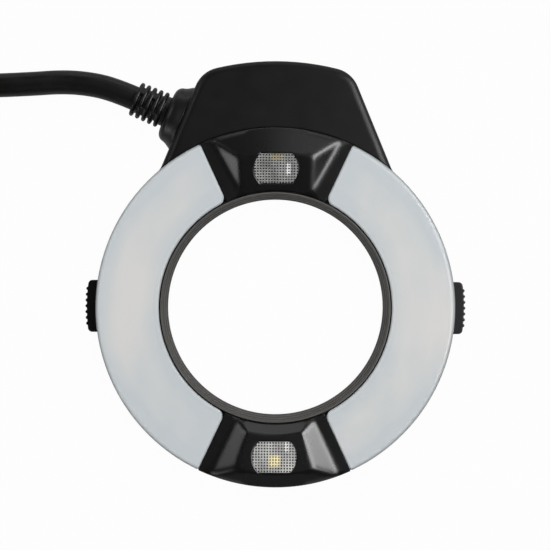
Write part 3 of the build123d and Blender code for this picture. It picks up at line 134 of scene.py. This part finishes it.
def coil_place(turned, stretch=1.0):
    """The middle of the cable after that many degrees along the coil."""
    radius = (coil_inner_radius + coil_pitch * abs(turned - coil_reverse) / full_turn) * stretch
    climb = min(max((turned - coil_reverse) / coil_climb_angle + 0.5, 0), 1)
    height = coil_bottom + coil_pitch * climb**2 * (3 - 2 * climb)
    angle = radians(coil_start_angle + turned)
    return coil_centre + Vector((radius * cos(angle), radius * sin(angle), height))


coil_in = (coil_place(tangent_step) - coil_place(0)).normalized()
coil_out = (coil_place(coil_last) - coil_place(coil_last - tangent_step)).normalized()
coil_entry = coil_place(0) - coil_in * cable_diameter
coil_exit = coil_place(coil_last) + coil_out * cable_diameter
cable_start = wall_entry + wall_out * relief_reach
turn_stretch = 1 / cos(radians(coil_step / 2))
cable_points = [cable_start, cable_start + wall_out * cable_lead]
cable_points += [Vector((wall_entry.x + x, wall_entry.y + y, coil_bottom + rise)) for x, y, rise in cable_route]
cable_points += [coil_entry - coil_in * coil_approach, coil_entry]
turned = coil_step / 2
while turned < coil_last:
    cable_points.append(coil_place(turned, turn_stretch))
    turned += coil_step
cable_points += [coil_exit, coil_exit + coil_out * tail_lead]
cable_points += [coil_centre + Vector((x, y, plug_radius + rise)) for x, y, rise in tail_route]

cable_curve = bpy.data.curves.new("cable_line", "CURVE")
cable_curve.dimensions = "3D"
cable_curve.bevel_depth = 1.0
cable_curve.bevel_resolution = 8
cable_curve.resolution_u = 10
cable_curve.use_fill_caps = True
spline = cable_curve.splines.new("NURBS")
spline.points.add(len(cable_points) - 1)
for point, place in zip(spline.points, cable_points):
    point.co = (*place, 1)
    point.radius = cable_radius
spline.order_u = 3
spline.use_endpoint_u = True
cable = bpy.data.objects.new("cable_line", cable_curve)
scene.collection.objects.link(cable)
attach(cable, "head")
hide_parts("cable", "cable_coil", "cable_tail")

# Return springs, each with its own copy of its part's mesh
springs = []
for side in ("left", "right"):
    node = f"{side}_return_spring"
    spring = bpy.data.objects.new(f"{side}_spring_wire", nodes_of[node].data.copy())
    scene.collection.objects.link(spring)
    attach(spring, "head")
    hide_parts(node)
    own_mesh(spring)
    springs.append(spring)


# Materials
def cleared(owner):
    """An empty node tree for a material or a world."""
    owner.use_nodes = True
    owner.node_tree.nodes.clear()
    return owner.node_tree


def put(tree, socket, value):
    """Joins a source to a socket, or sets a plain number or colour on it."""
    if isinstance(value, bpy.types.NodeSocket):
        tree.links.new(value, socket)
    else:
        socket.default_value = value


def math_node(tree, operation, first, second=0.0):
    node = tree.nodes.new("ShaderNodeMath")
    node.operation = operation
    put(tree, node.inputs[0], first)
    put(tree, node.inputs[1], second)
    return node.outputs[0]


class Shading:
    """One node material under construction."""

    def __init__(self, name):
        self.material = bpy.data.materials.new(name)
        self.tree = cleared(self.material)
        self.shader = self.tree.nodes.new("ShaderNodeBsdfPrincipled")
        output = self.tree.nodes.new("ShaderNodeOutputMaterial")
        self.link(self.shader.outputs["BSDF"], output.inputs["Surface"])
        self.place = self.tree.nodes.new("ShaderNodeTexCoord").outputs["Object"]

    def link(self, source, target):
        self.tree.links.new(source, target)

    def put(self, socket, value):
        put(self.tree, socket, value)

    def math(self, operation, first, second=0.0):
        return math_node(self.tree, operation, first, second)

    def axes(self):
        """The place on the piece along x, y and z."""
        split = self.tree.nodes.new("ShaderNodeSeparateXYZ")
        self.link(self.place, split.inputs[0])
        return split.outputs[:]

    def axial_radius(self):
        """The distance from the optical axis."""
        x, y, _ = self.axes()
        squares = self.math("ADD", self.math("MULTIPLY", x, x), self.math("MULTIPLY", y, y))
        return self.math("SQRT", squares)

    def off(self, value, middle):
        """How far a number is from a middle, to either side."""
        return self.math("ABSOLUTE", self.math("SUBTRACT", value, middle))

    def stretched(self, scale):
        """The place, scaled along each axis."""
        node = self.tree.nodes.new("ShaderNodeMapping")
        self.link(self.place, node.inputs["Vector"])
        node.inputs["Scale"].default_value = scale
        return node.outputs[0]

    def noise(self, scale, vector=None, detail=2.0):
        node = self.tree.nodes.new("ShaderNodeTexNoise")
        self.link(self.place if vector is None else vector, node.inputs["Vector"])
        node.inputs["Scale"].default_value = scale
        node.inputs["Detail"].default_value = detail
        return node.outputs[0]

    def spread(self, value, low, high, start=0.3, end=0.7):
        """Turns the range from start to end, at first a pattern's middle, into the range from low to high."""
        node = self.tree.nodes.new("ShaderNodeMapRange")
        self.link(value, node.inputs["Value"])
        node.inputs["From Min"].default_value = start
        node.inputs["From Max"].default_value = end
        node.inputs["To Min"].default_value = low
        node.inputs["To Max"].default_value = high
        return node.outputs[0]

    def between(self, value, start, full, last, end):
        """Rises from nothing at start to one at full, and falls from one at last to nothing at end."""
        rise = self.spread(value, 0.0, 1.0, start, full)
        return self.math("MULTIPLY", rise, self.spread(value, 1.0, 0.0, last, end))

    def patches(self, scale=70.0):
        """Soft patches from nothing to one."""
        return self.spread(self.noise(scale), 0.0, 1.0)

    def uneven(self, low, high, scale=160.0):
        """A number that wanders softly between two."""
        return self.spread(self.noise(scale), low, high)

    def blend(self, factor, first, second):
        """Mixes two colours."""
        node = self.tree.nodes.new("ShaderNodeMix")
        node.data_type = "RGBA"
        self.put(node.inputs[0], factor)
        self.put(node.inputs[6], first)
        self.put(node.inputs[7], second)
        return node.outputs[2]

    def bump(self, height, depth, normal=None):
        node = self.tree.nodes.new("ShaderNodeBump")
        node.inputs["Strength"].default_value = 1.0
        node.inputs["Distance"].default_value = depth
        self.link(height, node.inputs["Height"])
        if normal is not None:
            self.link(normal, node.inputs["Normal"])
        return node.outputs[0]

    def grain(self, scale, depth, normal=None):
        """The fine grain of a moulded or worked surface."""
        return self.bump(self.noise(scale, detail=1.0), depth, normal)

    def rounded(self, radius):
        """Softens edges within that radius."""
        node = self.tree.nodes.new("ShaderNodeBevel")
        node.samples = 16
        self.put(node.inputs["Radius"], radius)
        return node.outputs[0]

    def set(self, **values):
        """Gives the shader its values, by the names of its sockets."""
        for name, value in values.items():
            self.put(self.shader.inputs[name.replace("_", " ")], value)


def colour(red, green, blue):
    return (red, green, blue, 1.0)


def scaled(base, share):
    """A colour made darker or lighter."""
    return colour(*[part * share for part in base])


def plain(name, base, blotch, roughness, rough_blotch, grain_scale, grain_depth, edge=0.0, **values):
    """A surface with faint blotches in colour and gloss, and a moulded or worked grain."""
    shading = Shading(name)
    shading.set(
        Base_Color=shading.blend(shading.patches(), scaled(base, 1 - blotch), scaled(base, 1 + blotch)),
        Roughness=shading.uneven(roughness - rough_blotch, roughness + rough_blotch),
        Normal=shading.grain(grain_scale, grain_depth, shading.rounded(edge) if edge else None),
        **values,
    )
    return shading.material


def faceted():
    """Satin black moulding: edges well rounded at the side facets, crisper elsewhere and sharp along the diffusers."""
    crisp_edge = 0.0008
    soft_edge = 0.0034
    sharp_share = 0.03
    facet_start = 0.0095
    facet_inside = 0.0115
    foot_normal_x = 0.868
    foot_normal_y = 0.497
    foot_start = -0.0075
    foot_end = -0.006
    shading = Shading("lamp_black")
    x, y, _ = shading.axes()
    beside = shading.math("ABSOLUTE", x)
    outwards = shading.math("ABSOLUTE", y)
    past_foot = shading.math(
        "SUBTRACT",
        shading.math("MULTIPLY", beside, foot_normal_x),
        shading.math("MULTIPLY", outwards, foot_normal_y),
    )
    edge = shading.math(
        "MULTIPLY",
        shading.spread(beside, crisp_edge, soft_edge, facet_start, facet_inside),
        shading.spread(past_foot, 1.0, sharp_share, foot_start, foot_end),
    )
    shading.set(
        Base_Color=shading.blend(shading.patches(), colour(0.0026, 0.0026, 0.003), colour(0.0034, 0.0034, 0.0038)),
        Roughness=shading.uneven(0.27, 0.285),
        Normal=shading.grain(scale=2600.0, depth=0.000002, normal=shading.rounded(edge)),
        Specular_IOR_Level=0.5,
    )
    return shading.material


def milky():
    """Frosted translucent plastic with painted light and shade: lighter and warmer at the middle of the tube, cooler
    and darker in painted shade at its ends, with a rim darkened by painted shade.
    """
    painted_lit_warm = colour(0.618, 0.612, 0.60)
    painted_shade_cool = colour(0.515, 0.55, 0.567)
    rim_shade_grey = colour(0.38, 0.40, 0.40)
    tube_radius = 0.0512
    shade_line_radius = 0.0419
    shading = Shading("milky_plastic")
    _, y, z = shading.axes()
    radius = shading.axial_radius()
    streaks = shading.spread(shading.noise(90.0, shading.stretched((1.0, 0.2, 1.0)), detail=1.0), -0.3, 0.3)
    clouds = shading.uneven(-0.2, 0.2, scale=45.0)
    ends = shading.spread(shading.math("ABSOLUTE", y), 0.0, 1.0, start=0.012, end=0.052)
    off_tube = shading.spread(shading.off(radius, tube_radius), 0.0, 0.75, start=0.004, end=0.0105)
    # Painted light and shade mixed with random streaks and clouds: lighter and warmer over the tube, darker and cooler
    # at the ends and away from the tube
    shade_and_streak_share = shading.math("ADD", shading.math("ADD", ends, off_tube), shading.math("ADD", streaks, clouds))
    # Painted shade: a faint dark line painted at 41.9 mm from the axis, and a grey rim painted along the rounded outer
    # edge of the face
    painted_shade_line = shading.spread(shading.off(radius, shade_line_radius), 0.1, 0.0, start=0.0001, end=0.0003)
    near_rim = shading.spread(radius, 0.0, 1.0, start=0.0612, end=0.0621)
    near_face = shading.spread(z, 0.0, 1.0, start=0.0213, end=0.0223)
    painted_rim_shade = shading.math("ADD", shading.math("MULTIPLY", near_rim, near_face), painted_shade_line)
    shading.set(
        Base_Color=shading.blend(painted_rim_shade, shading.blend(shade_and_streak_share, painted_lit_warm, painted_shade_cool), rim_shade_grey),
        Roughness=shading.uneven(0.33, 0.4, scale=200.0),
        Normal=shading.grain(scale=2500.0, depth=0.000003, normal=shading.rounded(0.0004)),
        Subsurface_Weight=0.3,
        Subsurface_Radius=(0.003, 0.003, 0.003),
        Subsurface_Scale=1.0,
        Specular_IOR_Level=0.25,
        IOR=1.49,
    )
    return shading.material


def prismatic():
    """Clear lens with painted light and shade: its cut grooves are painted as light lines, each flat top is a dot of
    painted shade, a bright streak is a painted highlight, and the chip shows yellow.
    """
    column_pitch = 0.000975
    upper_row_pitch, lower_row_pitch = 0.0009283, 0.0009725
    upper_first_row, lower_first_row = 0.04788, 0.05142
    highlight_streak_x = 0.0042
    shading = Shading("clear_plastic")
    x, y, _ = shading.axes()
    outwards = shading.math("ABSOLUTE", y)
    upper = shading.math("GREATER_THAN", y, 0.0)
    first_row = shading.spread(upper, lower_first_row, upper_first_row, start=0.0, end=1.0)
    row_pitch = shading.spread(upper, lower_row_pitch, upper_row_pitch, start=0.0, end=1.0)
    column = shading.math("MULTIPLY", x, 1 / column_pitch)
    row = shading.math("ADD", shading.math("DIVIDE", shading.math("SUBTRACT", outwards, first_row), row_pitch), 0.5)
    dot = 1.0
    for count in (column, row):
        from_top = shading.off(shading.math("FRACT", count), 0.5)
        dot = shading.math("MULTIPLY", shading.spread(from_top, 1.0, 0.0, start=0.23, end=0.3), dot)
    chip = shading.math(
        "MULTIPLY",
        shading.spread(shading.math("ABSOLUTE", x), 1.0, 0.0, start=0.0014, end=0.0024),
        shading.between(outwards, start=0.0504, full=0.0512, last=0.0544, end=0.0552),
    )
    # A painted highlight: a near white streak painted across the grooves near x = 4.2 mm
    painted_highlight_streak = shading.math(
        "MULTIPLY",
        shading.spread(shading.off(x, highlight_streak_x), 1.0, 0.0, start=0.0003, end=0.0011),
        shading.between(outwards, start=0.0452, full=0.0462, last=0.0492, end=0.0502),
    )
    glints = shading.spread(shading.noise(260.0, shading.stretched((1.0, 0.5, 1.0)), detail=1.0), 0.0, 1.0)
    # Painted light and shade: the groove lines and the chip are painted lighter on the lower lens, and darker, in
    # painted shade, on the upper
    upper_painted_groove_light = shading.blend(glints, colour(0.26, 0.26, 0.255), colour(0.42, 0.42, 0.41))
    lower_painted_groove_light = shading.blend(glints, colour(0.42, 0.42, 0.415), colour(0.66, 0.66, 0.64))
    lines = shading.blend(upper, lower_painted_groove_light, upper_painted_groove_light)
    lines = shading.blend(painted_highlight_streak, lines, colour(0.85, 0.85, 0.85))
    chip_lines = shading.blend(upper, colour(0.9, 0.83, 0.58), colour(0.42, 0.38, 0.28))
    lines = shading.blend(chip, lines, chip_lines)
    chip_dots = shading.blend(upper, colour(0.22, 0.17, 0.03), colour(0.08, 0.065, 0.025))
    # Painted shade: each flat top is painted near black, and dark yellow over the chip
    painted_shade_dots = shading.blend(chip, colour(0.012, 0.012, 0.012), chip_dots)
    shading.set(
        # Painted light and shade: light groove lines around the dark painted tops
        Base_Color=shading.blend(dot, lines, painted_shade_dots),
        Roughness=shading.uneven(0.12, 0.2, scale=500.0),
        Transmission_Weight=0.1,
        IOR=1.5,
    )
    return shading.material


def ribbed():
    """Moulded grey sleeve, with the deep gap around its lip painted near black as painted shade."""
    lip_radius = 0.03978
    gap_radius = 0.0399
    shading = Shading("baffle_grey")
    body = shading.blend(shading.patches(), colour(0.046, 0.043, 0.038), colour(0.058, 0.054, 0.048))
    # Painted shade: near black past the lip, in the deep gap
    painted_gap_shade = shading.spread(shading.axial_radius(), 0.0, 1.0, lip_radius, gap_radius)
    shading.set(
        Base_Color=shading.blend(painted_gap_shade, body, colour(0.003, 0.003, 0.003)),
        Roughness=shading.uneven(0.45, 0.55),
        Normal=shading.grain(scale=2600.0, depth=0.000006, normal=shading.rounded(0.0001)),
    )
    return shading.material


def turned_metal(name, base, roughness):
    """Metal with fine lathe lines about the optical axis."""
    dark_share = 0.93
    rough_blotch = 0.04
    shading = Shading(name)
    lines = shading.tree.nodes.new("ShaderNodeTexNoise")
    lines.noise_dimensions = "1D"
    lines.inputs["Scale"].default_value = 5000.0
    shading.link(shading.axial_radius(), lines.inputs["W"])
    shading.set(
        Base_Color=shading.blend(shading.patches(scale=90.0), scaled(base, dark_share), scaled(base, 1)),
        Metallic=1.0,
        Roughness=shading.uneven(roughness - rough_blotch, roughness + rough_blotch, scale=120.0),
        Normal=shading.bump(lines.outputs[0], depth=0.000008, normal=shading.rounded(0.0002)),
    )
    return shading.material


def glass():
    """Clear glass with a trace of haze."""
    base = (0.95, 0.96, 0.97)
    haze_share = 0.94
    shading = Shading("tube_glass")
    shading.set(
        Base_Color=shading.blend(shading.patches(scale=300.0), scaled(base, haze_share), scaled(base, 1)),
        Roughness=shading.uneven(0.035, 0.065, scale=500.0),
        Normal=shading.bump(shading.noise(900.0), depth=0.000005),
        Transmission_Weight=0.9,
        IOR=1.5,
    )
    return shading.material


black = (0.0026, 0.0026, 0.0028)
rubber = (0.0035, 0.0035, 0.0034)
# Each plain finish: base colour, its blotches, roughness, its blotches, grain's scale and depth, edges' radius
plain_finishes = {
    "black_shell": (black, 0.1, 0.42, 0.03, 3200.0, 0.000003, 0.0008),
    "steel": ((0.5, 0.5, 0.5), 0.08, 0.3, 0.06, 2600.0, 0.000006, 0.0001),
    "slider_plastic": ((0.03, 0.03, 0.03), 0.1, 0.4, 0.05, 2200.0, 0.000008, 0.0002),
    "white_plastic": ((0.72, 0.72, 0.68), 0.03, 0.35, 0.04, 2200.0, 0.000006, 0.0001),
    "board_green": ((0.02, 0.12, 0.045), 0.2, 0.3, 0.05, 1500.0, 0.00001, 0.0001),
    "brass": ((0.7, 0.5, 0.22), 0.08, 0.25, 0.06, 2400.0, 0.000005, 0.0001),
    "lamp_yellow": ((0.8, 0.6, 0.1), 0.08, 0.4, 0.04, 2000.0, 0.000005, 0.0),
    "black_rubber": (rubber, 0.12, 0.36, 0.05, 2200.0, 0.000006, 0.0004),
    "cable_black": (rubber, 0.12, 0.38, 0.05, 1400.0, 0.000008, 0.0),
    "capacitor_blue": ((0.02, 0.03, 0.12), 0.1, 0.25, 0.04, 1500.0, 0.000006, 0.0),
    "ferrite": ((0.05, 0.05, 0.052), 0.15, 0.55, 0.06, 1800.0, 0.00001, 0.0002),
    "chrome": ((0.62, 0.62, 0.64), 0.04, 0.22, 0.03, 1800.0, 0.000004, 0.0001),
}
own_values = {
    "black_shell": {"Specular_IOR_Level": 0.21},
    "black_rubber": {"Specular_IOR_Level": 0.3},
    "cable_black": {"Specular_IOR_Level": 0.25},
    "steel": {"Metallic": 1.0},
    "brass": {"Metallic": 1.0},
    "chrome": {"Metallic": 1.0},
}
finishes = {name: plain(name, *values, **own_values.get(name, {})) for name, values in plain_finishes.items()}
finishes["lamp_black"] = faceted()
finishes["milky_plastic"] = milky()
finishes["baffle_grey"] = ribbed()
finishes["clear_plastic"] = prismatic()
finishes["tube_glass"] = glass()
finishes["seat_aluminium"] = turned_metal("seat_aluminium", base=(0.62, 0.62, 0.63), roughness=0.3)
finishes["bright_aluminium"] = turned_metal("bright_aluminium", base=(0.85, 0.85, 0.86), roughness=0.15)
for name, piece in nodes_of.items():
    for slot in piece.material_slots:
        slot.material = finishes[slot_of[name]]
cable_curve.materials.append(finishes["cable_black"])
for spring in springs:
    spring.data.materials.clear()
    spring.data.materials.append(finishes["steel"])


def background_rays(tree, mirrored):
    """How much of the white background a ray sees: all from the camera or through glass, a part mirrored."""
    rays = tree.nodes.new("ShaderNodeLightPath")
    seen = math_node(tree, "MULTIPLY", rays.outputs["Is Glossy Ray"], mirrored)
    for kind in ("Is Camera Ray", "Is Transmission Ray"):
        seen = math_node(tree, "MAXIMUM", seen, rays.outputs[kind])
    return seen


def show(tree, output_kind, factor, lit, seen):
    """Shows one surface to the light, and the other to the rays that see the background."""
    output = tree.nodes.new(output_kind)
    mix = tree.nodes.new("ShaderNodeMixShader")
    tree.links.new(factor, mix.inputs["Fac"])
    tree.links.new(lit.outputs[0], mix.inputs[1])
    tree.links.new(seen.outputs[0], mix.inputs[2])
    tree.links.new(mix.outputs[0], output.inputs["Surface"])


# Floor: white where the camera sees it, with the object's shadow kept faint
floor_half = 3.0
floor_height = -0.0001
floor_mirrored = 0.1
white_share = 0.97
floor_corners = [(x * floor_half, y * floor_half, 0) for x, y in ((-1, -1), (1, -1), (1, 1), (-1, 1))]
floor_mesh = bpy.data.meshes.new("floor")
floor_mesh.from_pydata(floor_corners, [], [(0, 1, 2, 3)])
floor = bpy.data.objects.new("floor", floor_mesh)
floor.location = (0, 0, floor_height)
scene.collection.objects.link(floor)
floor_material = bpy.data.materials.new("floor_white")
tree = cleared(floor_material)
paper = tree.nodes.new("ShaderNodeBsdfDiffuse")
paper.inputs["Color"].default_value = colour(0.45, 0.45, 0.45)
glow = tree.nodes.new("ShaderNodeEmission")
glow.inputs["Strength"].default_value = 1.0
seen = math_node(tree, "MULTIPLY", background_rays(tree, floor_mirrored), white_share)
show(tree, "ShaderNodeOutputMaterial", seen, paper, glow)
floor_mesh.materials.append(floor_material)

# Surroundings: white behind everything and mirrored near the horizon, with a plain grey light above
horizon_height = 0.12
horizon_mirrored = 0.1
world = bpy.data.worlds.new("surroundings")
scene.world = world
tree = cleared(world)
light = tree.nodes.new("ShaderNodeBackground")
light.inputs["Color"].default_value = colour(0.06, 0.06, 0.062)
white = tree.nodes.new("ShaderNodeBackground")
white.inputs["Color"].default_value = colour(1, 1, 1)
direction = tree.nodes.new("ShaderNodeSeparateXYZ")
tree.links.new(tree.nodes.new("ShaderNodeTexCoord").outputs["Generated"], direction.inputs[0])
horizon = tree.nodes.new("ShaderNodeMapRange")
tree.links.new(direction.outputs[2], horizon.inputs["Value"])
horizon.inputs["From Min"].default_value = 0.0
horizon.inputs["From Max"].default_value = horizon_height
horizon.inputs["To Min"].default_value = horizon_mirrored
horizon.inputs["To Max"].default_value = 0.0
show(tree, "ShaderNodeOutputWorld", background_rays(tree, horizon.outputs[0]), light, white)

# A soft fill that lights the colours, and soft boxes that only show in the gloss: place, width, height and power
lamp_aim = Vector((0, 0.01, 0.02))
lamps = {
    "front_fill": ((0.1, 0.28, 1.46), 1.2, 1.2, 27.0),
    "right_box": ((0.74, 0.43, 0.48), 0.45, 0.45, 8.0),
    "near_right_box": ((0.24, 0.03, 0.32), 0.3, 0.16, 1.55),
    "left_box": ((-0.74, -0.43, 0.33), 0.45, 0.35, 1.7),
    "low_right_box": ((0.74, -0.43, 0.33), 0.45, 0.35, 0.1),
    "high_left_box": ((-0.74, 0.43, 0.45), 0.45, 0.35, 1.5),
    "top_box": ((0.05, 0.95, 0.14), 0.9, 0.25, 1.3),
    "high_top_box": ((0.24, 0.7, 0.6), 0.5, 0.25, 0.4),
}
for name, (place, width, height, power) in lamps.items():
    lamp_data = bpy.data.lights.new(name, "AREA")
    lamp_data.shape = "RECTANGLE"
    lamp_data.size = width
    lamp_data.size_y = height
    lamp_data.energy = power
    lamp = bpy.data.objects.new(name, lamp_data)
    lamp.location = place
    lamp.visible_glossy = name != "front_fill"
    lamp.visible_diffuse = name == "front_fill"
    lamp.rotation_euler = (lamp_aim - Vector(place)).to_track_quat("-Z", "Y").to_euler()
    scene.collection.objects.link(lamp)

bpy.context.view_layer.update()
